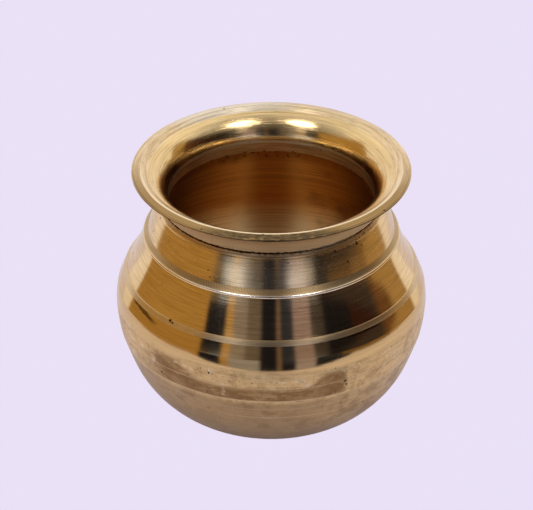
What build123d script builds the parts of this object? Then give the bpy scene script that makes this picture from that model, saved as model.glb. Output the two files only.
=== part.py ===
from build123d import *
import os

# Brass water pot (kalash), turned about the Z axis. All sizes are in millimetres.
# The origin is the centre of the flat foot, where the pot stands, and +Z points up through the mouth.
# The pot is made in three cast pieces that are turned, fitted into each other and brazed together:
# a deep bowl, a shoulder shell lapped onto the bowl, and a flared mouth socketed into the shell.

# Outline of the bowl, from the foot upwards. Each height is measured from the level below it.
foot_edge_rounding = 1.2
bilge_reach = 28.2
bilge_height = 28.1
cone_height = 10.3
lower_belly_height = 13.4
upper_belly_height = 12.1
belly_radius = 64.9
facet_inset = 1.6
cone_inset = 5.2
belly_joint_inset = 3.5

# Outline of the shoulder shell, from the belly joint upwards
belly_band_height = 2.0
belly_band_taper = 1.2
belly_band_proud = 0.35
slope_height = 15.1
slope_hollow = 0.25
shoulder_bead_height = 1.4
shoulder_bead_proud = 0.5
chatter_strip_height = 2.1
chatter_strip_proud = 0.25
cap_height = 13.3
cap_crown = 0.2
neck_radius = 46.0
chatter_strip_step = 5.1
shoulder_bead_step = 6.8

# Outline of the mouth, from the neck joint upwards
flare_height = 13.4
throat_land_height = 4.8
lip_overhang = 11.5
lip_crest_inset = 4.6
lip_crest_rise = 1.2
lip_band_width = 1.8
lip_band_dip = 1.1
lip_depth = 2.2
lip_underside_inset = 2.6

# Walls
body_wall = 2.4
base_wall = 3.2
collar_wall = 1.5

# Neck joint: a collar under the mouth stands in the shell's neck, in a thin sleeve of brazing metal
neck_braze_height = 0.9
neck_braze_recess = 0.25
neck_braze_film = 0.3
neck_wall = 1.6
collar_depth = 2.4

# Belly joint: a tongue on the bowl laps inside the shell, with a film of brazing metal between them
belly_lap = 4.0
belly_braze_film = 0.4
lap_tip_clearance = 0.3

# Levels and radii that follow from the sizes above
cone_level = bilge_height
facet_level = cone_level + cone_height
belly_level = facet_level + lower_belly_height
belly_joint_level = belly_level + upper_belly_height
band_top_level = belly_joint_level + belly_band_height
bead_level = band_top_level + slope_height
strip_level = bead_level + shoulder_bead_height
cap_level = strip_level + chatter_strip_height
shell_top_level = cap_level + cap_height
mouth_seat_level = shell_top_level + neck_braze_height
crest_level = mouth_seat_level + flare_height
collar_radius = neck_radius - neck_wall - neck_braze_film
throat_radius = collar_radius - collar_wall
mouth_radius = neck_radius + lip_overhang
belly_joint_radius = belly_radius - belly_joint_inset
foot_radius = belly_radius - cone_inset - bilge_reach


def along(start, end):
    """Unit vector from one point of an outline to another."""
    return (Vector(*end) - Vector(*start)).normalized()


def outward(direction):
    """The direction that faces away from the pot's axis, beside an outline that runs upwards."""
    return Vector(direction.Y, -direction.X)


def turned(outline):
    """The solid swept when a closed outline of (radius, height) turns round the pot's axis."""
    return revolve(Plane.XZ * make_face(outline), Axis.Z)


# Points of the outer outline that more than one piece needs
cone_point = Vector(foot_radius + bilge_reach, cone_level)
facet_point = Vector(belly_radius - facet_inset, facet_level)
belly_point = Vector(belly_radius, belly_level)
joint_point = Vector(belly_joint_radius, belly_joint_level)
band_top_point = Vector(belly_joint_radius - belly_band_taper, band_top_level)
bead_point = Vector(neck_radius + shoulder_bead_step, bead_level)
cap_point = Vector(neck_radius + chatter_strip_step, cap_level)
neck_point = Vector(neck_radius, shell_top_level)

# The belly joint runs square to the shell's wall, and the film lies at the middle of that wall
lap_direction = along(band_top_point, bead_point)
lap_normal = outward(lap_direction)
film_outside = joint_point - lap_normal * (body_wall - belly_braze_film) / 2
film_inside = joint_point - lap_normal * (body_wall + belly_braze_film) / 2
joint_inside = joint_point - lap_normal * body_wall


def belly_bowl():
    """The lower half of the body: flat foot, round bilge, short cone, belly and the tongue of the lap."""
    cone_direction = along(cone_point, facet_point)
    cone_inside = cone_point - outward(cone_direction) * body_wall
    facet_inside = facet_point - outward(cone_direction) * body_wall
    belly_inside = belly_point - Vector(body_wall, 0)
    tongue_tip = film_inside + lap_direction * belly_lap
    tongue_tip_inside = joint_inside + lap_direction * belly_lap
    foot_corner = Vector(foot_radius, 0)
    floor_corner = Vector(foot_radius, base_wall)
    outline = [
        Line((0, 0), foot_corner),
        TangentArc(cone_point, foot_corner, tangent=-cone_direction),
        Line(cone_point, facet_point),
        TangentArc(belly_point, facet_point, tangent=(0, -1)),
        TangentArc(belly_point, joint_point, tangent=(0, 1)),
        Line(joint_point, film_inside),
        Line(film_inside, tongue_tip),
        Line(tongue_tip, tongue_tip_inside),
        Line(tongue_tip_inside, joint_inside),
        TangentArc(belly_inside, joint_inside, tangent=(0, 1)),
        TangentArc(belly_inside, facet_inside, tangent=(0, -1)),
        Line(facet_inside, cone_inside),
        TangentArc(cone_inside, floor_corner, tangent=-cone_direction),
        Line(floor_corner, (0, base_wall)),
        Line((0, base_wall), (0, 0)),
    ]
    bowl = turned(outline)
    foot_edge = bowl.edges().filter_by(GeomType.CIRCLE).sort_by(Axis.Z)[0]
    return fillet(foot_edge, foot_edge_rounding)


def belly_braze():
    """The film of brazing metal between the bowl's tongue and the shell."""
    outline = Polyline(
        film_outside,
        film_inside,
        film_inside + lap_direction * belly_lap,
        film_outside + lap_direction * belly_lap,
        close=True,
    )
    return turned(outline)


def shoulder_shell():
    """The upper half of the body: belly band, slope, bead, chatter strip and cap up to the neck."""
    proud = Vector(belly_band_proud, 0)
    bead_top = Vector(bead_point.X, strip_level)
    bead_middle = (bead_point + bead_top) / 2 + Vector(shoulder_bead_proud, 0)
    strip_foot = bead_top + Vector(-chatter_strip_proud, 0)
    strip_top = cap_point + Vector(chatter_strip_proud, 0)
    bore_radius = neck_radius - neck_wall
    cap_direction = along(cap_point, neck_point)
    cap_inside = cap_point - outward(cap_direction) * body_wall
    bead_inside = bead_point - lap_normal * body_wall
    bore_foot_level = cap_inside.Y + (bore_radius - cap_inside.X) * cap_direction.Y / cap_direction.X
    lap_roof = belly_lap + lap_tip_clearance
    outline = [
        Line(joint_point, joint_point + proud),
        Line(joint_point + proud, band_top_point + proud),
        Line(band_top_point + proud, band_top_point),
        SagittaArc(band_top_point, bead_point, slope_hollow),
        ThreePointArc(bead_point, bead_middle, bead_top),
        Line(bead_top, strip_foot),
        Line(strip_foot, strip_top),
        Line(strip_top, cap_point),
        SagittaArc(cap_point, neck_point, -cap_crown),
        Line(neck_point, (bore_radius, shell_top_level)),
        Line((bore_radius, shell_top_level), (bore_radius, bore_foot_level)),
        Line((bore_radius, bore_foot_level), cap_inside),
        Line(cap_inside, bead_inside),
        Line(bead_inside, joint_inside + lap_direction * lap_roof),
        Line(joint_inside + lap_direction * lap_roof, film_outside + lap_direction * lap_roof),
        Line(film_outside + lap_direction * lap_roof, film_outside),
        Line(film_outside, joint_point),
    ]
    return turned(outline)


def neck_braze():
    """The brazing metal in the neck joint: an open bead outside and a thin sleeve round the collar."""
    bead_radius = neck_radius - neck_braze_recess
    sleeve_radius = neck_radius - neck_wall
    outline = Polyline(
        (collar_radius, mouth_seat_level),
        (bead_radius, mouth_seat_level),
        (bead_radius, shell_top_level),
        (sleeve_radius, shell_top_level),
        (sleeve_radius, shell_top_level - collar_depth),
        (collar_radius, shell_top_level - collar_depth),
        close=True,
    )
    return turned(outline)


def mouth_flare():
    """The mouth: collar, cylindrical throat, flared wall and thick rounded lip."""
    collar_foot_level = shell_top_level - collar_depth
    throat_top = Vector(throat_radius, collar_foot_level + throat_land_height)
    crest = Vector(mouth_radius - lip_crest_inset, crest_level)
    lip_line = crest - Vector(lip_band_width, lip_band_dip)
    lip_edge = Vector(mouth_radius, crest_level - lip_crest_rise)
    lip_underside = Vector(mouth_radius - lip_underside_inset, lip_edge.Y - lip_depth)
    neck_corner = Vector(neck_radius, mouth_seat_level)
    outline = [
        Line((collar_radius, collar_foot_level), (throat_radius, collar_foot_level)),
        Line((throat_radius, collar_foot_level), throat_top),
        TangentArc(throat_top, lip_line, tangent=(0, 1)),
        TangentArc(crest, lip_line, tangent=(-1, 0)),
        TangentArc(crest, lip_edge, tangent=(1, 0)),
        TangentArc(lip_edge, lip_underside, tangent=(0, -1)),
        TangentArc(neck_corner, lip_underside, tangent=(0, 1)),
        Line(neck_corner, (collar_radius, mouth_seat_level)),
        Line((collar_radius, mouth_seat_level), (collar_radius, collar_foot_level)),
    ]
    return turned(outline)


pieces = {
    "belly_bowl": belly_bowl(),
    "belly_braze": belly_braze(),
    "shoulder_shell": shoulder_shell(),
    "neck_braze": neck_braze(),
    "mouth_flare": mouth_flare(),
}

os.makedirs("parts", exist_ok=True)
for name, piece in pieces.items():
    export_step(piece, f"parts/{name}.step")
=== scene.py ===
import math

import bmesh
import bpy
from mathutils import Matrix, Vector, noise


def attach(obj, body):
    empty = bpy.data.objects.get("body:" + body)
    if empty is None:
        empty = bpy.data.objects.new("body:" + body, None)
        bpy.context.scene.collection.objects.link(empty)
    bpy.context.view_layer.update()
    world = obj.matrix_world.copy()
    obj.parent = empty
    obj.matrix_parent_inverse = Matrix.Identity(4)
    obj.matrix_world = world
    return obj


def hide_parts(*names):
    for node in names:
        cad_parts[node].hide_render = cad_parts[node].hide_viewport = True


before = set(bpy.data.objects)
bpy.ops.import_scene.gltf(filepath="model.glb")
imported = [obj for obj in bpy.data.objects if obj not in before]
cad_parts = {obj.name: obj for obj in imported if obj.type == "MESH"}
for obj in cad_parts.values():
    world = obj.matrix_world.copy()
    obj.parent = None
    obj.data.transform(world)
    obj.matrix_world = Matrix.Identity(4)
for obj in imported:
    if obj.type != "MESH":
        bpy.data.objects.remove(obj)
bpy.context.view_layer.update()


# ---------------------------------------------------------------------------------------------
# Belly bowl: the lower half of the pot, cast in brass and turned on a lathe. The belly is polished,
# the bilge below it is left satin and has gone brown in patches, and a tongue laps inside the shell.
# ---------------------------------------------------------------------------------------------

MM = 0.001


def swung(start, heading, end, steps=16):
    """Points on the arc that leaves start along heading and comes to end, without start."""
    heading = heading.normalized()
    chord = end - start
    half_turn = math.atan2(heading.x * chord.y - heading.y * chord.x, heading.dot(chord))
    points = []
    for step in range(1, steps + 1):
        share = step / steps
        reach = chord.length * math.sin(half_turn * share) / math.sin(half_turn)
        points.append(start + Matrix.Rotation(half_turn * share, 2) @ heading * reach)
    return points


def bowed(start, end, bow, steps=12):
    """Points on a shallow arc to end that stands out by bow on the right of its path, without start."""
    chord = end - start
    right = Vector((chord.y, -chord.x)).normalized()
    points = []
    for step in range(1, steps + 1):
        share = step / steps
        points.append(start + chord * share + right * bow * 4 * share * (1 - share))
    return points


def turn(outside, inside, sides, crease=22):
    """A turned mesh. The outside and inside outlines are runs of (radius, height) in millimetres that
    follow each other round the section; the first gets material 0 and the second material 1. A slice
    of a thirtieth is turned first and then repeated. Edges bent more than crease degrees stay sharp."""
    mesh = bmesh.new()
    run = mesh.verts.layers.float.new("run")
    outline = outside + inside
    row = [mesh.verts.new((point.x * MM, 0, point.y * MM)) for point in outline]
    distance = 0
    for vert, last in zip(row, [row[0]] + row):
        distance += (vert.co - last.co).length
        vert[run] = distance
    edges = [mesh.edges.new(pair) for pair in zip(row, row[1:])]
    if outline[0].x > 0:
        edges.append(mesh.edges.new((row[-1], row[0])))
    border = row[len(outside) - 1][run] + 1e-9
    slices = 30
    bmesh.ops.spin(mesh, geom=row + edges, axis=(0, 0, 1), cent=(0, 0, 0), dvec=(0, 0, 0),
                   angle=2 * math.pi / slices, steps=sides // slices, use_duplicate=False)
    slice_parts = list(mesh.verts) + list(mesh.edges) + list(mesh.faces)
    bmesh.ops.spin(mesh, geom=slice_parts, axis=(0, 0, 1), cent=(0, 0, 0), dvec=(0, 0, 0),
                   angle=2 * math.pi * (slices - 1) / slices, steps=slices - 1, use_duplicate=True)
    bmesh.ops.remove_doubles(mesh, verts=mesh.verts, dist=1e-7)
    bmesh.ops.recalc_face_normals(mesh, faces=mesh.faces)
    for face in mesh.faces:
        face.smooth = True
        if any(vert[run] > border for vert in face.verts):
            face.material_index = 1
    sharp = math.radians(crease)
    for edge in mesh.edges:
        if edge.calc_face_angle(0) > sharp:
            edge.smooth = False
    return mesh


def settle(name, mesh, *materials):
    """The bmesh as an object at the origin, with its materials."""
    data = bpy.data.meshes.new(name)
    mesh.to_mesh(data)
    mesh.free()
    for material in materials:
        data.materials.append(material)
    piece = bpy.data.objects.new(name, data)
    bpy.context.scene.collection.objects.link(piece)
    return piece


belly = Vector((64.9, 51.8))
belly_corner = Vector((63.95, 58.6))
belly_joint = Vector((61.4, 63.9))
facet = Vector((63.3, 38.4))
cone_foot = Vector((59.7, 28.1))
foot_edge = Vector((31.5, 0.25))
foot_flat = 30.9
bowl_wall = 2.4
bowl_floor = 3.2
belly_lap = 4.0
shell_lap_wall = 1.0
film = 0.4

cone_way = cone_foot - facet
cone_in = Vector((cone_way.y, -cone_way.x)).normalized() * bowl_wall
rise = swung(cone_foot, cone_way, foot_edge, 40)
bowl_outside = [Vector((0, 0)), Vector((foot_flat / 2, 0)), Vector((foot_flat, 0))]
bowl_outside += rise[::-1] + [cone_foot]
bowl_outside += bowed(cone_foot, facet, 0.05, 8)
drop = swung(belly, Vector((0, -1)), facet, 14)
bowl_outside += drop[-2::-1] + [belly]
bowl_outside += swung(belly, Vector((0, 1)), belly_corner, 14)
bowl_outside += bowed(belly_corner, belly_joint, 0.04, 6)
tongue_way = Vector((-7.3, 15.1)).normalized()
tongue_out = Vector((tongue_way.y, -tongue_way.x))
film_in = belly_joint - tongue_out * (shell_lap_wall + film)
joint_in = belly_joint - tongue_out * bowl_wall
bowl_inside = [film_in, film_in + tongue_way * belly_lap, joint_in + tongue_way * belly_lap, joint_in]
belly_in = belly - Vector((bowl_wall, 0))
facet_in = facet + cone_in
waist_in = cone_foot + cone_in
fall = swung(belly_in, Vector((0, 1)), joint_in, 12)
bowl_inside += fall[-2::-1] + [belly_in] + swung(belly_in, Vector((0, -1)), facet_in, 10) + [waist_in]
bowl_inside += swung(waist_in, cone_way, Vector((foot_edge.x, bowl_floor)), 24)
bowl_inside += [Vector((foot_edge.x / 2, bowl_floor)), Vector((0, bowl_floor))]


class Signal:
    """A shader socket that can stand in plain arithmetic; each operation adds its Math node. a | b is
    the larger of the two."""

    def __init__(self, finish, socket):
        self.finish = finish
        self.socket = socket

    def math(self, operation, *others):
        return self.finish.put("ShaderNodeMath", {"operation": operation}, dict(enumerate((self, *others))))

    def __add__(self, other):
        return self.math("ADD", other)

    def __sub__(self, other):
        return self.math("SUBTRACT", other)

    def __mul__(self, other):
        return self.math("MULTIPLY", other)

    def __rsub__(self, other):
        return self * -1 + other

    def __or__(self, other):
        return self.math("MAXIMUM", other)

    def __abs__(self):
        return self.math("ABSOLUTE")

    __radd__ = __add__
    __rmul__ = __mul__


class Finish:
    """The nodes of a material or of the room. put adds one node, with its settings and its inputs."""

    def __init__(self, owner):
        owner.use_nodes = True
        self.owner = owner
        self.nodes = owner.node_tree.nodes
        self.links = owner.node_tree.links
        self.nodes.clear()

    def put(self, kind, settings=None, inputs=None, output=0):
        node = self.nodes.new(kind)
        for name, value in (settings or {}).items():
            if name == "stops":
                ramp = node.color_ramp.elements
                while len(ramp) < len(value):
                    ramp.new(1)
                for stop, (position, colour) in zip(ramp, value):
                    stop.position = position
                    stop.color = (*colour, 1)
            else:
                setattr(node, name, value)
        for name, value in (inputs or {}).items():
            if isinstance(value, Signal):
                self.links.new(value.socket, node.inputs[name])
            else:
                node.inputs[name].default_value = value
        return Signal(self, node.outputs[output]) if node.outputs else node

    def blend(self, share, first, second):
        """Colour first where share is 0 and colour second where it is 1."""
        full = [(*c, 1) if isinstance(c, tuple) and len(c) == 3 else c for c in (first, second)]
        return self.put("ShaderNodeMix", {"data_type": "RGBA"}, {0: share, 6: full[0], 7: full[1]}, 2)

    def ramp(self, value, low, high, at_low=0.0, at_high=1.0):
        """Runs smoothly from at_low to at_high while value goes from low to high."""
        return self.put("ShaderNodeMapRange", {"interpolation_type": "SMOOTHSTEP"},
                        {0: value, 1: low, 2: high, 3: at_low, 4: at_high})

    def band(self, value, low, high, soft):
        """1 between low and high, 0 outside, with soft edges."""
        return self.ramp(value, low - soft, low + soft) * self.ramp(value, high - soft, high + soft, 1, 0)


class Brass(Finish):
    """A brass finish: height in mm, angle in degrees from the front to the right, and its patterns."""

    def __init__(self, name):
        super().__init__(bpy.data.materials.new(name))
        self.place = self.put("ShaderNodeTexCoord", output=3)
        self.x, self.y, self.z = (
            self.put("ShaderNodeSeparateXYZ", inputs={0: self.place}, output=k) for k in range(3))
        self.run = self.put("ShaderNodeAttribute", {"attribute_name": "run"}, output=2)
        self.height = self.z * 1000
        self.angle = self.x.math("ARCTAN2", self.y * -1) * (180 / math.pi)

    def turned(self, tall, long, detail=3.0, roughness=0.6):
        """Noise stretched round the pot: its grain is tall mm high and long mm round."""
        stretched = self.put("ShaderNodeCombineXYZ", inputs={
            0: self.x * (1000 / long), 1: self.y * (1000 / long), 2: self.run * (1000 / tall)})
        return self.put("ShaderNodeTexNoise", inputs={
            "Vector": stretched, "Scale": 1.0, "Detail": detail, "Roughness": roughness})

    def cloud(self, size, detail=3.0, roughness=0.6):
        """Noise that is the same in every direction, with lumps size mm wide."""
        return self.put("ShaderNodeTexNoise", inputs={
            "Vector": self.place, "Scale": 1000 / size, "Detail": detail, "Roughness": roughness})

    def pits(self, spacing, size, share):
        """Small round pits of size mm, in the given share of the cells that are spacing mm wide."""
        cells = {"Vector": self.place, "Scale": 1000 / spacing}
        near = self.put("ShaderNodeTexVoronoi", inputs=cells)
        pick = self.put("ShaderNodeTexVoronoi", inputs=cells, output=1)
        luck = self.put("ShaderNodeSeparateColor", inputs={0: pick})
        edge = size / spacing
        return self.ramp(near, edge * 0.6, edge, 1, 0) * self.ramp(luck, 1 - share, 1 - share + 0.02)

    def marks(self, spots):
        """Ragged spots, each at (angle, height, radius of the surface, half-width), in degrees and mm."""
        ragged = self.put("ShaderNodeTexNoise", inputs={"Vector": self.place, "Scale": 1800, "Detail": 2.0},
                          output=1)
        reach = 0.55 * MM
        shift = self.put("ShaderNodeVectorMath", {"operation": "MULTIPLY_ADD"},
                         {0: ragged, 1: (2 * reach,) * 3, 2: (-reach,) * 3})
        spot_place = self.put("ShaderNodeVectorMath", {"operation": "ADD"}, {0: self.place, 1: shift})
        nearest = None
        for angle, height, radius, size in spots:
            swing = math.radians(angle)
            centre = (radius * math.sin(swing) * MM, -radius * math.cos(swing) * MM, height * MM)
            gap = self.put("ShaderNodeVectorMath", {"operation": "DISTANCE"}, {0: spot_place, 1: centre}, 1)
            gap = gap * (1000 / size)
            nearest = gap if nearest is None else nearest.math("MINIMUM", gap)
        return self.ramp(nearest, 0.6, 1.15, 1, 0)

    def shade(self, colour, roughness, relief, deep, anisotropic=0.7):
        """Finishes the material: relief stands up by deep millimetres where it is 1."""
        normal = self.put("ShaderNodeBump", inputs={
            "Strength": 1.0, "Distance": deep * MM, "Height": relief})
        shader = self.put("ShaderNodeBsdfPrincipled", inputs={
            "Base Color": colour, "Metallic": 1.0, "Roughness": roughness, "Normal": normal,
            "Anisotropic": anisotropic, "Anisotropic Rotation": 0.25})
        self.put("ShaderNodeOutputMaterial", inputs={0: shader})
        return self.owner


def inside_brass(name):
    """The dull brass of an inside wall, red-brown above, with turning lines and dark stains. It is paler
    low down, which is painted light. The sides are darker with painted shade, and two pale strips at the
    back are painted reflections of the lamps."""
    inner = Brass(name)
    rings = inner.turned(0.7, 90, 4, 0.75)
    rust = inner.cloud(22, 4)
    round_way = abs(inner.angle)
    # The paler tone low down is painted light.
    lower = inner.ramp(inner.height, 66, 43)
    groove = inner.blend(lower, (0.66, 0.23, 0.03), (0.84, 0.46, 0.17))
    ridge = inner.blend(lower, (0.92, 0.38, 0.065), (1.0, 0.68, 0.32))
    colour = inner.blend(inner.ramp(rings, 0.35, 0.65), groove, ridge)
    colour = inner.blend(inner.ramp(rust, 0.52, 0.72) * 0.5, colour, (0.26, 0.09, 0.02))
    walls = inner.ramp(inner.height, 20, 40)
    # Painted shade: the walls are darker towards the sides.
    colour = inner.blend(inner.ramp(round_way, 160, 120) * walls * 0.85, colour, (0.13, 0.03, 0.006))
    # Two pale strips at the back of the walls are painted reflections of the lamps.
    painted_lamp_streaks = inner.band(round_way, 164.0, 172.0, 4.5) * inner.ramp(inner.height, 92, 44, 0.25, 0.9) * walls
    colour = inner.blend(painted_lamp_streaks, colour, inner.blend(lower, (1.0, 0.48, 0.10), (1.0, 0.74, 0.38)))
    specks = inner.band(inner.height, 90.5, 95.2, 0.6) * inner.ramp(inner.cloud(1.6, 3), 0.60, 0.66)
    colour = inner.blend(specks * 0.9, colour, (0.02, 0.01, 0.006))
    return inner.shade(colour, 0.52 + rings * 0.10, rings, 0.05, 0.97)


bowl = Brass("bowl_brass_turned")
fine = bowl.turned(0.8, 20, 3, 0.65)
coarse = bowl.turned(2.2, 70, 3)
satin = bowl.ramp(bowl.height + coarse * 5, 53.6, 57.0, 1, 0)
colour = bowl.blend(satin, (0.76, 0.52, 0.24), (0.80, 0.565, 0.27))
pale_scuffs = bowl.ramp(bowl.turned(1.6, 9, 4, 0.65), 0.5, 0.75) * satin
colour = bowl.blend(pale_scuffs * 0.5, colour, (0.92, 0.74, 0.48))
patchy = bowl.turned(4.0, 10, 6, 0.68)
brown_lift = bowl.band(bowl.angle, -52, -32, 6) * 6 + bowl.band(bowl.angle, 17, 40, 5) * 6
brown_band = bowl.ramp(bowl.height + patchy * 7 - brown_lift, 46.5, 50.5, 1, 0)
brown_band = brown_band * bowl.ramp(bowl.height, facet.y - 0.4, facet.y + 0.6)
brown_side = bowl.ramp(bowl.angle + patchy * 6, 30.0, 32.0, 1, 0) * bowl.ramp(bowl.angle, -60, -42)
brown = brown_band * brown_side * bowl.ramp(patchy, 0.32, 0.56, 0.45, 1.0)
colour = bowl.blend(brown * 0.94, colour, (0.24, 0.12, 0.04))
mottle = bowl.cloud(9, 6, 0.72)
colour = bowl.blend(bowl.ramp(mottle, 0.44, 0.32) * satin * 0.55, colour, (0.98, 0.84, 0.60))
colour = bowl.blend(bowl.ramp(mottle, 0.49, 0.62) * satin * 0.55, colour, (0.40, 0.24, 0.10))
freckles = bowl.ramp(bowl.cloud(1.5, 4, 0.75), 0.56, 0.68) * satin
colour = bowl.blend(freckles * 0.6, colour, (0.24, 0.145, 0.065))
blotches = bowl.ramp(bowl.turned(2.5, 8, 5, 0.7), 0.48, 0.74) * satin
colour = bowl.blend(blotches * 0.6, colour, (0.36, 0.21, 0.09))
# Painted shade: the foot is darker, a little less so towards the right.
painted_foot_shade = bowl.ramp(bowl.height + coarse * 3, 36.5, 40.5, 1, 0)
painted_light_right = bowl.ramp(bowl.angle, 8, 42)
colour = bowl.blend(painted_foot_shade * (0.72 - painted_light_right * 0.42), colour, (0.40, 0.26, 0.13))
foot_blotch = bowl.ramp(bowl.turned(7, 9, 5, 0.62), 0.52, 0.64) * painted_foot_shade
colour = bowl.blend(foot_blotch * 0.6, colour, (0.32, 0.19, 0.085))
bowl_spots = bowl.marks([
    (-44.6, 41.4, 63.8, 0.7), (-43.8, 40.6, 63.7, 0.5), (-26.3, 51.4, 64.9, 0.45),
    (-23.0, 50.2, 64.8, 0.5), (-22.0, 50.0, 64.8, 0.4), (27.8, 44.7, 64.3, 0.9),
    (28.4, 42.6, 64.1, 0.6), (50.3, 62.7, 62.0, 0.4)])
under_band = bowl.ramp(bowl.height, belly_joint.y - 0.35, belly_joint.y - 0.05)
seam_dirt = bowl.band(bowl.height + fine * 0.8, belly_joint.y - 0.55, belly_joint.y + 0.3, 0.25)
seam_dirt = seam_dirt * bowl.band(bowl.angle, 31, 45, 3)
seam_dirt = seam_dirt | under_band * bowl.ramp(coarse, 0.4, 0.7, 0.2, 0.8)
stain_place = bowl.height + bowl.turned(1.0, 6, 4, 0.7) * 2.4 + (bowl.angle + 58) * 0.12
stain = bowl.band(stain_place, belly_joint.y - 0.6, belly_joint.y + 0.8, 0.3)
stain = stain * bowl.band(bowl.angle, -66, -50, 3)
colour = bowl.blend(stain * 0.85, colour, (0.10, 0.05, 0.02))
pinholes = bowl.pits(2.6, 0.42, 0.10)
dark = bowl_spots | pinholes * 0.8 | seam_dirt
colour = bowl.blend(dark, colour, (0.045, 0.028, 0.014))
tool_lines = (bowl.band(bowl.height, facet.y - 0.25, facet.y + 0.2, 0.15)
              | bowl.band(bowl.height, 45.0, 45.35, 0.12) * 0.7
              | bowl.band(bowl.height, cone_foot.y - 0.2, cone_foot.y + 0.3, 0.15) * 0.8
              | bowl.band(bowl.height, 33.1, 33.4, 0.12) * 0.5)
colour = bowl.blend(tool_lines * bowl.ramp(coarse, 0.3, 0.6) * 0.5, colour, (0.95, 0.76, 0.50))
colour = bowl.blend(bowl.ramp(fine, 0.3, 0.7, 0.0, 0.22), colour, (0.30, 0.19, 0.09))
# Painted shade: darker towards the bottom of the foot.
colour = bowl.blend(bowl.ramp(bowl.height, 34, 6) * 0.5, colour, (0.30, 0.215, 0.125))
bowl_relief = fine + coarse * 0.5 - bowl_spots * 2.0
bowl_material = bowl.shade(colour, 0.07 + satin * 0.24 + fine * 0.06, bowl_relief, 0.012)

bowl_mesh = turn(bowl_outside, bowl_inside, 360, 8)
belly_bowl = settle("belly_bowl_turned", bowl_mesh, bowl_material, inside_brass("bowl_brass_inside"))
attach(belly_bowl, "root")
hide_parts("belly_bowl")


# ---------------------------------------------------------------------------------------------
# Shoulder shell: the upper half of the body, cast in brass and turned, with a flat belly band at
# its foot, and a strip of chatter marks above a small bead half-way up.
# ---------------------------------------------------------------------------------------------

band_foot = belly_joint
band_top = Vector((60.2, 65.9))
bead_foot = Vector((52.8, 81.0))
bead_top = Vector((52.8, 82.4))
bead_way = Vector((0.945, 0.326))
cap_foot = Vector((51.1, 84.5))
cap_way = Vector((-5.1, 13.3)).normalized()
cap_out = Vector((cap_way.y, -cap_way.x))
sleeve_radius = 44.4
collar_foot = 95.4
neck_face = 45.5
lap_room = 0.3
proud = Vector((0.35, 0))
chatter_sunk = Vector((0.2, 0))
groove_rise = 11.9
seam_height = 97.75
shell_outside = [band_foot, band_foot + proud * 0.9, band_foot + proud + Vector((-0.06, 0.12))]
shell_outside += [band_top + proud + Vector((0.05, -0.12)), band_top + proud * 0.9, band_top]
shell_outside += bowed(band_top, bead_foot, -0.25, 8)
shell_outside += swung(bead_foot, bead_way, bead_top, 10)
shell_outside += bowed(bead_top - chatter_sunk, cap_foot - chatter_sunk, 0, 8) + [cap_foot]
groove = cap_foot + cap_way * groove_rise
shell_outside += bowed(cap_foot, groove - cap_way * 0.2, 0.15, 8)
shell_outside += [groove - cap_out * 0.12, groove + cap_way * 0.35 - cap_out * 0.16]
shell_outside += [groove + cap_way * 0.55, groove + cap_way * 1.2, groove + cap_way * 1.35 - cap_out * 0.1]
shell_outside += [groove + cap_way * 1.5, Vector((46.05, seam_height - 0.1)), Vector((45.9, seam_height))]
shell_inside = [Vector((sleeve_radius, seam_height)), Vector((sleeve_radius, collar_foot)),
                Vector((48.8, 83.7)), bead_foot - tongue_out * bowl_wall,
                joint_in + tongue_way * (belly_lap + lap_room),
                belly_joint - tongue_out * shell_lap_wall + tongue_way * (belly_lap + lap_room),
                belly_joint - tongue_out * shell_lap_wall]

strokes = 270
stroke_lean = 3.4
stroke_depth = 0.025
stroke_start = 83.4
strip_middle = (bead_top.y + cap_foot.y) / 2
strip_half = (cap_foot.y - bead_top.y) / 2
shell_mesh = turn(shell_outside, shell_inside, 1080)
for vert in shell_mesh.verts:
    height = vert.co.z / MM
    radius = math.hypot(vert.co.x, vert.co.y)
    swing = math.atan2(vert.co.x, -vert.co.y)
    shift = 0
    if bead_top.y + 0.1 < height < cap_foot.y - 0.05:
        strength = 0.45 + 0.55 * math.cos(swing - 0.35)
        stroke = math.sin(strokes * swing + (height - stroke_start) * stroke_lean)
        middle = 1 - ((height - strip_middle) / strip_half) ** 2
        shift = stroke_depth * strength * stroke * max(middle, 0)
    elif height > 96.9 and radius > neck_face * MM:
        place = Vector((math.sin(swing), math.cos(swing), 0)) * 40
        shift = 0.16 * noise.noise(place)
        if height > 97.5:
            vert.co.z += 0.36 * MM * (noise.noise(place * 1.1) + 0.7 * noise.noise(place * 3.1))
    vert.co.xy *= 1 + shift * MM / radius

shell = Brass("shoulder_brass_turned")
fine = shell.turned(0.7, 16, 3, 0.65)
coarse = shell.turned(1.8, 60, 3)
cap = shell.ramp(shell.height, cap_foot.y - 0.1, cap_foot.y + 0.1)
colour = shell.blend(shell.ramp(fine, 0.3, 0.7), (0.66, 0.455, 0.215), (0.86, 0.62, 0.33))
streaks = shell.ramp(shell.turned(0.8, 12, 4, 0.7), 0.55, 0.78)
colour = shell.blend(streaks * 0.35, colour, (0.34, 0.19, 0.06))
band_mask = shell.ramp(shell.height, band_top.y + 0.05, band_top.y + 0.15, 1, 0)
band_tone = shell.blend(shell.turned(0.5, 4, 4, 0.7), (0.50, 0.35, 0.17), (0.86, 0.65, 0.38))
colour = shell.blend(band_mask, colour, band_tone)
strip_mask = shell.band(shell.height, bead_top.y, cap_foot.y, 0.05)
strip_tone = shell.blend(shell.turned(0.5, 3, 4, 0.75), (0.15, 0.09, 0.035), (0.50, 0.345, 0.175))
to_side = shell.ramp(abs(shell.angle), 30, 65)
colour = shell.blend(strip_mask * (0.85 - to_side * 0.4), colour, strip_tone)
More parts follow.
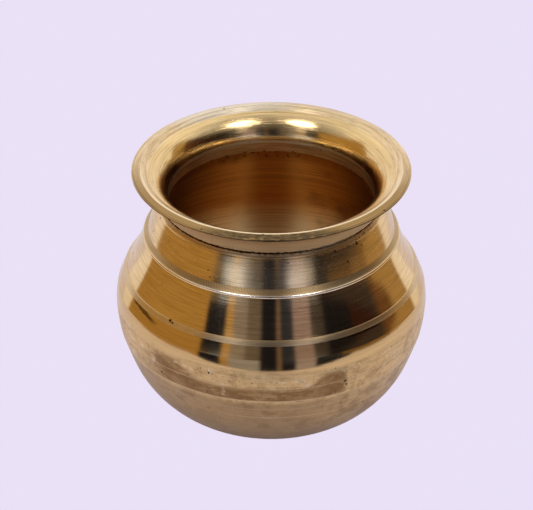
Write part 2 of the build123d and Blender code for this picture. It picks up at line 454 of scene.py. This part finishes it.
# Painted shade along the chatter strokes, so that they show in the colour.
stroke = (shell.angle * math.radians(strokes) + shell.height * stroke_lean).math("SINE")
painted_stroke_shade = shell.ramp(stroke + shell.cloud(2.0, 3) - 0.5, 0.0, 0.7)
colour = shell.blend(strip_mask * painted_stroke_shade * 0.4, colour, (0.14, 0.095, 0.05))
# Painted highlight: a pale line along the front of the bead.
bead_painted_highlight = shell.band(shell.height, bead_foot.y - 0.05, bead_top.y, 0.05)
bead_painted_highlight = bead_painted_highlight * shell.ramp(abs(shell.angle), 48, 24)
colour = shell.blend(bead_painted_highlight * 0.9, colour, (1.0, 0.90, 0.74))
neck_mask = shell.ramp(shell.height + coarse * 0.8, 96.5, 96.9)
neck_tone = shell.blend(shell.turned(0.4, 14, 4, 0.75), (0.24, 0.14, 0.06), (0.66, 0.45, 0.23))
colour = shell.blend(neck_mask * 0.8, colour, neck_tone)
shell_spots = shell.marks([
    (33.0, 95.3, 47.0, 0.65), (41.2, 95.3, 47.0, 0.5), (46.8, 94.9, 47.2, 0.7),
    (49.5, 93.3, 47.8, 0.42), (38.5, 89.9, 49.2, 0.6), (39.2, 89.0, 49.5, 0.45),
    (60.0, 96.2, 46.6, 0.4), (57.5, 96.4, 46.5, 0.42), (54.0, 96.6, 46.5, 0.5),
    (52.2, 96.5, 46.5, 0.4), (49.6, 96.2, 46.6, 0.5), (48.0, 95.9, 46.7, 0.4),
    (-74.8, 94.9, 47.2, 0.5), (-76.0, 88.4, 49.7, 0.42), (-59.0, 91.5, 48.5, 0.3),
    (-51.8, 89.5, 49.3, 0.3), (-51.0, 88.3, 49.7, 0.25), (-30.8, 88.4, 49.7, 0.35),
    (-29.2, 86.0, 50.5, 0.4), (-37.5, 89.9, 49.1, 0.28), (-57.2, 76.0, 55.4, 0.42),
    (-54.0, 75.5, 55.6, 0.5), (-55.5, 74.6, 56.0, 0.35), (-56.5, 72.9, 56.9, 0.4),
    (-51.5, 74.0, 56.4, 0.35), (-42.6, 65.6, 60.7, 0.8), (-41.2, 65.2, 60.9, 0.6),
    (-89.5, 71.0, 57.5, 0.5)])
pinholes = shell.pits(3.4, 0.34, 0.08)
colour = shell.blend(shell_spots | pinholes * 0.7, colour, (0.035, 0.022, 0.012))
dullness = band_mask | strip_mask * 1.4 | neck_mask * 0.8
shell_roughness = 0.07 + cap * 0.08 + dullness * 0.2 + bead_painted_highlight * 0.10 + fine * 0.06
speckle = shell.ramp(shell.turned(0.5, 1.6, 3, 0.7), 0.6, 0.72)
shell_relief = fine + coarse * 0.5 + speckle * 0.1 - shell_spots * 2.0
shell_material = shell.shade(colour, shell_roughness + speckle * 0.12, shell_relief, 0.012)

shell_inside_material = inside_brass("shoulder_brass_inside")
shoulder_shell = settle("shoulder_shell_turned", shell_mesh, shell_material, shell_inside_material)
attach(shoulder_shell, "root")
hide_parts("shoulder_shell")


# ---------------------------------------------------------------------------------------------
# Mouth flare: collar, straight throat, flared wall and rounded lip, cast in brass and turned. Its
# collar stands in the neck of the shell and is brazed there; the lip's outer face has never been polished.
# ---------------------------------------------------------------------------------------------

collar_radius = 44.1
throat_radius = 42.6
throat_top = Vector((throat_radius, 100.2))
lip_line = Vector((50.8, 110.45))
crest_in = Vector((52.9, 111.75))
crest = Vector((53.6, 112.1))
crest_out = Vector((54.3, 111.95))
lip_edge = Vector((57.5, 110.75))
lip_under = Vector((56.3, 110.0))
lip_back = Vector((57.0, 111.25))
neck_foot = 98.6
ragged_height = 0.6
neck_corner = Vector((46.0, neck_foot))
wall_top = Vector((55.4, 109.2))
flare_outside = [neck_corner] + swung(neck_corner, Vector((0.05, 1)), wall_top, 20)
flare_outside += [lip_under] + swung(lip_under, Vector((1, 0.4)), lip_edge, 6)
flare_outside += swung(lip_edge, Vector((0, 1)), lip_back, 4)
flare_outside += bowed(lip_back, crest_out, 0.0, 6) + [crest, crest_in]
flare_outside += bowed(crest_in, lip_line, 0.03, 4)
bell = swung(throat_top, Vector((0.12, 1)), lip_line, 28)
flare_outside += bell[-2::-1] + [throat_top]
flare_inside = [Vector((throat_radius - 0.05, 99.8)), Vector((throat_radius, 97)),
                Vector((throat_radius, collar_foot)), Vector((collar_radius, collar_foot)),
                Vector((collar_radius, neck_foot))]

flare = Brass("mouth_brass_turned")
radius = (flare.x * flare.x + flare.y * flare.y).math("SQRT") * 1000
fine = flare.turned(0.8, 20, 3, 0.65)
coarse = flare.turned(1.6, 50, 3)
scratch = flare.ramp(flare.turned(0.7, 14, 4, 0.75), 0.55, 0.70)
lines = flare.ramp(flare.turned(0.45, 60, 4, 0.8), 0.50, 0.62)
upper = flare.ramp(flare.run, 0.0135, 0.0145)
under = 1 - upper
colour = flare.blend(flare.ramp(fine, 0.3, 0.7), (0.78, 0.55, 0.245), (0.88, 0.65, 0.33))
lip_land = flare.ramp(radius, lip_line.x - 0.2, lip_line.x + 0.2) * upper
land_rings = flare.ramp(flare.turned(0.6, 12, 4, 0.75), 0.35, 0.65)
land_tone = flare.blend(land_rings, (0.70, 0.50, 0.26), (0.96, 0.75, 0.47))
# Painted reflection: the lip land turns silvery pale at the left back.
painted_pale_reflection = flare.ramp(flare.x + coarse * 0.02, 0.028, 0.004) * flare.ramp(flare.y, 0.030, 0.046) * 0.75
land_tone = flare.blend(painted_pale_reflection, land_tone, (0.96, 0.88, 0.72))
colour = flare.blend(lip_land * 0.85, colour, land_tone)
land_wear = flare.ramp(flare.turned(1.2, 6, 5, 0.7), 0.5, 0.72) * lip_land
colour = flare.blend(land_wear * 0.45, colour, (0.36, 0.25, 0.14))
colour = flare.blend(scratch * 0.45, colour, (0.28, 0.17, 0.08))
colour = flare.blend(lines * 0.5, colour, (0.28, 0.175, 0.08))
outer_face = flare.ramp(radius, crest_out.x - 0.3, crest_out.x + 0.2) * upper
front_side = flare.ramp(flare.y, -0.03, 0.02, 1, 0)
colour = flare.blend(outer_face * front_side * 0.92, colour, (0.34, 0.205, 0.07))
grime = flare.ramp(flare.turned(1.2, 2.2, 5, 0.7), 0.20, 0.58) * outer_face
grime = grime * flare.ramp(flare.y, -0.0545, -0.046, 1, 0)
colour = flare.blend(grime * 0.9, colour, (0.065, 0.045, 0.024))
# Painted highlight: a pale line along the front of the crest.
crest_painted_highlight = flare.band(radius, crest_in.x - 0.1, crest_out.x - 0.3, 0.15) * upper * front_side
crest_painted_highlight = crest_painted_highlight * flare.ramp(coarse, 0.25, 0.5, 0.5, 1.0)
colour = flare.blend(crest_painted_highlight * 0.8, colour, (1.0, 0.84, 0.58))
neck_tone = flare.blend(flare.turned(0.5, 22, 4, 0.75), (0.34, 0.22, 0.10), (0.70, 0.485, 0.25))
colour = flare.blend(under, colour, neck_tone)
edge_dirt = flare.band(radius, lip_back.x - 0.4, lip_back.x - 0.05, 0.15) * upper * front_side
edge_dirt = edge_dirt * flare.ramp(coarse, 0.35, 0.6)
throat_dirt = flare.band(flare.height + fine * 0.8, collar_foot - 0.1, collar_foot + 1.0, 0.3) * upper
throat_dirt = throat_dirt * flare.ramp(flare.cloud(2.0, 3), 0.56, 0.66)
flare_spots = flare.marks([
    (52.8, 111.4, 56.8, 0.6), (-29.5, 111.4, 56.4, 0.45), (-24.5, 111.3, 57.0, 0.4),
    (-3.5, 112.0, 54.3, 0.5), (-17.0, 106.0, 49.6, 0.3), (13.5, 103.2, 47.9, 0.35),
    (6.0, 105.0, 49.0, 0.25), (178, 105.2, 45.0, 0.35), (-116, 108.0, 47.8, 0.4),
    (-150, 111.0, 55.5, 0.5), (-158, 112.0, 53.6, 0.4), (124, 107.0, 46.9, 0.3)])
pinholes = flare.pits(3.0, 0.36, 0.10)
dark = flare_spots | pinholes * 0.75 | throat_dirt | edge_dirt * 0.7
throat_land = flare.ramp(flare.height, throat_top.y - 0.1, throat_top.y + 1.4, 1, 0) * upper
# The throat land has a painted lit tone at the back and painted shade at the sides and front.
land_painted_lit_tone = flare.blend(flare.ramp(fine, 0.35, 0.65), (0.74, 0.42, 0.16), (1.0, 0.68, 0.34))
land_painted_shade_side = flare.ramp(flare.y, 0.030, 0.0)
colour = flare.blend(throat_land * 0.9, colour, flare.blend(land_painted_shade_side, land_painted_lit_tone, (0.22, 0.12, 0.05)))
# Darker patches low on the bell, at both sides towards the back.
bell_side_dark_patches = flare.band(flare.height + flare.cloud(5, 5, 0.7) * 5, 102.0, 106.2, 0.8) * upper
bell_side_dark_patches = bell_side_dark_patches * flare.band(flare.y + flare.cloud(9, 3) * 0.02, 0.006, 0.032, 0.006)
colour = flare.blend(bell_side_dark_patches * 0.75, colour, (0.10, 0.065, 0.035))
# Painted highlight: a pale line where the bell meets the throat land, at the back.
throat_painted_highlight = flare.band(flare.height, throat_top.y - 0.7, throat_top.y + 0.5, 0.25) * upper
throat_painted_highlight = throat_painted_highlight * (1 - land_painted_shade_side)
colour = flare.blend(throat_painted_highlight * 0.6, colour, (1.0, 0.82, 0.56))
colour = flare.blend(dark, colour, (0.04, 0.027, 0.015))
flare_roughness = 0.10 + fine * 0.08 + under * 0.28 + lip_land * 0.14 + throat_land * 0.20
flare_relief = fine + coarse * 0.6 - dark * 2.0 - scratch * 0.5 - lines * 0.3
flare_material = flare.shade(colour, flare_roughness, flare_relief, 0.02)

flare_mesh = turn(flare_outside, flare_inside, 720, 30)
for vert in flare_mesh.verts:
    height = vert.co.z / MM
    radius = math.hypot(vert.co.x, vert.co.y)
    if height < neck_foot + ragged_height and radius > neck_face * MM:
        place = vert.co.xy.normalized().to_3d()
        ragged = noise.noise(place * 45) + 0.6 * noise.noise(place * 130)
        vert.co.z += 0.40 * MM * ragged * (neck_foot + ragged_height - height) / ragged_height
mouth_flare = settle("mouth_flare_turned", flare_mesh, flare_material, flare_material)
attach(mouth_flare, "root")
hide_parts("mouth_flare")


# ---------------------------------------------------------------------------------------------
# Neck braze: the brazing metal in the joint between shell and flare. It has shrunk back and gone black,
# except at the right of the front, where it fills the joint and is grey-green. The film in the belly
# joint is the same metal. It is hidden, so its plain shape stays.
# ---------------------------------------------------------------------------------------------

seam_foot = 97.6
seam_top = 98.5
seam_back = 44.15
seam_edge = 44.3
seam_row = [Vector((seam_edge, seam_foot)), Vector((neck_face, seam_foot)), Vector((45.7, 97.85)),
            Vector((45.72, 98.2)), Vector((neck_face, seam_top)), Vector((seam_edge, seam_top))]
seam_mesh = turn(seam_row, [Vector((seam_back, seam_top)), Vector((seam_back, seam_foot))], 720)
for vert in seam_mesh.verts:
    swing = math.atan2(vert.co.x, -vert.co.y)
    radius = math.hypot(vert.co.x, vert.co.y)
    if radius > neck_face * MM:
        place = Vector((math.sin(swing), math.cos(swing), 0)) * 35
        filled = math.exp(-((math.degrees(swing) - 33) / 16) ** 2)
        shift = -0.25 + 0.28 * noise.noise(place) + 0.42 * filled
        vert.co.xy *= 1 + min(shift, 0.25) * MM / radius

braze = Brass("brazing_metal_rough")
grain = braze.cloud(0.9, 4, 0.7)
filled = braze.band(braze.angle + grain * 6, 17, 52, 3)
colour = braze.blend(grain, (0.010, 0.008, 0.007), (0.05, 0.036, 0.022))
colour = braze.blend(filled, colour, braze.blend(grain, (0.11, 0.11, 0.085), (0.42, 0.40, 0.30)))
braze_material = braze.shade(colour, 0.5 + grain * 0.2, grain, 0.1)

neck_braze = settle("neck_braze_seam", seam_mesh, braze_material, braze_material)
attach(neck_braze, "root")
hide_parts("neck_braze")
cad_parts["belly_braze"].material_slots[0].material = braze_material


# ---------------------------------------------------------------------------------------------
# Studio: a pale sheet under the pot, which ends in front of it and at both sides, a floor of the same
# paper beyond the sheet, which the brass doesn't mirror, and the soft room of lamps, screens and walls
# that the brass does mirror.
# ---------------------------------------------------------------------------------------------

sheet_front = -0.190
sheet_side = 0.27
floor_reach = 3.0
floor_level = -0.0002
pale_violet = (0.823, 0.753, 0.922)

paper = Finish(bpy.data.materials.new("pale_paper"))
paper_shade = paper.put("ShaderNodeBsdfDiffuse", inputs={0: (0.84, 0.81, 0.84, 1)})
paper_glow = paper.put("ShaderNodeEmission", inputs={0: (*pale_violet, 1), 1: 1.0})
glow_share = paper.put("ShaderNodeLightPath", output=0) * 0.75 + 0.25
paper_mix = paper.put("ShaderNodeMixShader", inputs={0: glow_share, 1: paper_shade, 2: paper_glow})
paper.put("ShaderNodeOutputMaterial", inputs={0: paper_mix})


def slab(name, x0, y0, x1, y1):
    """A flat stretch of paper from corner to corner, just under the pot's foot."""
    mesh = bmesh.new()
    bmesh.ops.create_grid(mesh, x_segments=1, y_segments=1, size=0.5)
    bmesh.ops.scale(mesh, vec=(x1 - x0, y1 - y0, 1), verts=mesh.verts)
    bmesh.ops.translate(mesh, vec=((x0 + x1) / 2, (y0 + y1) / 2, floor_level), verts=mesh.verts)
    piece = settle(name, mesh, paper.owner)
    return piece


slab("paper_sheet", -sheet_side, sheet_front, sheet_side, floor_reach)
for name, x0, y0, x1, y1 in (("front_floor", -floor_reach, -floor_reach, floor_reach, sheet_front),
                             ("left_floor", -floor_reach, sheet_front, -sheet_side, floor_reach),
                             ("right_floor", sheet_side, sheet_front, floor_reach, floor_reach)):
    slab(name, x0, y0, x1, y1).visible_glossy = False

world = bpy.data.worlds.new("room")
bpy.context.scene.world = world
room = Finish(world)
way = room.put("ShaderNodeTexCoord", output=0)
way_x, way_y, way_z = (room.put("ShaderNodeSeparateXYZ", inputs={0: way}, output=k) for k in range(3))
bearing = way_x.math("ARCTAN2", way_y * -1) * (180 / math.pi)
elevation = way_z.math("ARCSINE") * (180 / math.pi)
lean = way_y.math("ARCTAN2", way_z) * (1 / math.pi) + 0.5


def ring(walls, soft=1.2):
    """Walls round the pot: each (bearing where it starts, its colour), from -180 round to 180."""
    stops = [((walls[0][0] + 180) / 360, walls[0][1])]
    for (start, wall_colour), (_, last_colour) in zip(walls[1:], walls):
        stops.append(((start - soft + 180) / 360, last_colour))
        stops.append(((start + soft + 180) / 360, wall_colour))
    return room.put("ShaderNodeValToRGB", {"stops": stops}, {0: bearing * (1 / 360) + 0.5})


white = (0.95, 0.92, 0.93)
amber = (0.44, 0.27, 0.082)
black = (0.012, 0.013, 0.022)
floor_ring = ring([(-180, white), (-123, amber), (-52, black), (-36, (0.42, 0.28, 0.11)),
                   (-30, (0.32, 0.34, 0.44)), (-8, black), (4, (0.20, 0.15, 0.12)), (7, black),
                   (17, (0.36, 0.34, 0.43)), (31, black), (56, (0.24, 0.155, 0.07)),
                   (92, (0.42, 0.28, 0.12)), (123, white)])
low_ring = ring([(-180, white), (-121, amber), (-52, black), (-36, (0.5, 0.33, 0.13)),
                 (-30, (0.34, 0.36, 0.45)), (-8, black), (4, (0.20, 0.15, 0.12)), (7, (0.03, 0.035, 0.06)),
                 (17, (0.36, 0.32, 0.40)), (31, (0.03, 0.035, 0.05)), (50, (0.17, 0.10, 0.042)),
                 (74, (0.27, 0.17, 0.072)), (92, (0.42, 0.28, 0.12)), (122, white)])
middle_ring = ring([(-180, white), (-134, amber), (-50, (0.34, 0.30, 0.26)), (-42, (1.25, 1.5, 2.2)),
                    (-24, (0.30, 0.36, 0.55)), (-17, (0.035, 0.045, 0.09)), (6, (0.12, 0.14, 0.22)),
                    (14, (1.05, 1.2, 1.8)), (29, (0.8, 0.86, 1.1)), (37, (0.05, 0.04, 0.04)),
                    (88, (0.16, 0.08, 0.035)), (103, (0.44, 0.30, 0.13)), (134, white)], 3.4)
high_ring = ring([(-180, white), (-114, amber), (-52, black), (-36, (0.5, 0.33, 0.13)),
                  (-30, (0.28, 0.26, 0.28)), (-19, (0.16, 0.14, 0.14)), (-8, black),
                  (4, (0.20, 0.15, 0.12)), (7, (0.03, 0.035, 0.06)), (17, (0.30, 0.24, 0.29)),
                  (31, (0.05, 0.045, 0.05)), (42, (0.010, 0.010, 0.014)), (64, (0.035, 0.013, 0.010)),
                  (88, (0.08, 0.030, 0.013)), (103, (0.44, 0.30, 0.13)), (121, white)])
ceiling = room.put("ShaderNodeValToRGB", {"stops": [
    (0.0, (0.02, 0.02, 0.024)), (0.20, (0.05, 0.05, 0.055)), (0.36, (0.31, 0.30, 0.29)),
    (0.5, (0.66, 0.67, 0.72)), (0.58, (0.95, 0.94, 0.95)), (0.75, (1.1, 1.08, 1.08))]}, {0: lean})
# The rings stand on each other from the floor up, and the middle one reaches lower at the right.
wall_foot = room.ramp(bearing, 50, 82, 0, 1.8)
light = floor_ring
for height, low, high, tier in (
        (elevation, -11, -8, low_ring), (elevation + wall_foot, 2.6, 4.6, middle_ring),
        (elevation, 10.2, 11.8, high_ring), (elevation, 33, 42, ceiling)):
    light = room.blend(room.ramp(height, low, high), light, tier)

lamp_rise = math.radians(59)
lamp_side = math.radians(43)
lamp_edge = math.cos(math.radians(12))
lamp_core = math.cos(math.radians(5))
shaft_bearing = 33
shaft_half = 6
for side in (-1, 1):
    lamp_way = (math.sin(lamp_side * side) * math.cos(lamp_rise),
                -math.cos(lamp_side * side) * math.cos(lamp_rise), math.sin(lamp_rise))
    facing = room.put("ShaderNodeVectorMath", {"operation": "DOT_PRODUCT"}, {0: way, 1: lamp_way}, 1)
    shaft_middle = shaft_bearing * side
    shaft = room.band(bearing, shaft_middle - shaft_half, shaft_middle + shaft_half, 2)
    light = room.blend(shaft * room.band(elevation, 27, 50, 4) * 0.8, light, (0.80, 0.78, 0.80))
    light = room.blend(room.ramp(facing, lamp_edge, lamp_core), light, (7, 7, 7.2))
light = room.blend(room.put("ShaderNodeLightPath", output=0), light, pale_violet)
backdrop = room.put("ShaderNodeBackground", inputs={0: light, 1: 1.0})
room.put("ShaderNodeOutputWorld", inputs={0: backdrop})

camera_data = bpy.data.cameras.new("camera")
camera = bpy.data.objects.new("camera", camera_data)
bpy.context.scene.collection.objects.link(camera)
bpy.context.scene.camera = camera
camera_data.sensor_width = 36
camera_data.lens = 204.6
camera_distance = 1.265
camera_rise = math.radians(31.26)
target = Vector((-0.0020, 0, 0.0696))
back = Vector((0, -math.cos(camera_rise), math.sin(camera_rise)))
camera.location = target + back * camera_distance
camera.rotation_mode = "QUATERNION"
camera.rotation_quaternion = (-back).to_track_quat("-Z", "Y")
camera_data.clip_start = 0.05
camera_data.clip_end = 20

bpy.context.scene.view_settings.view_transform = "Standard"
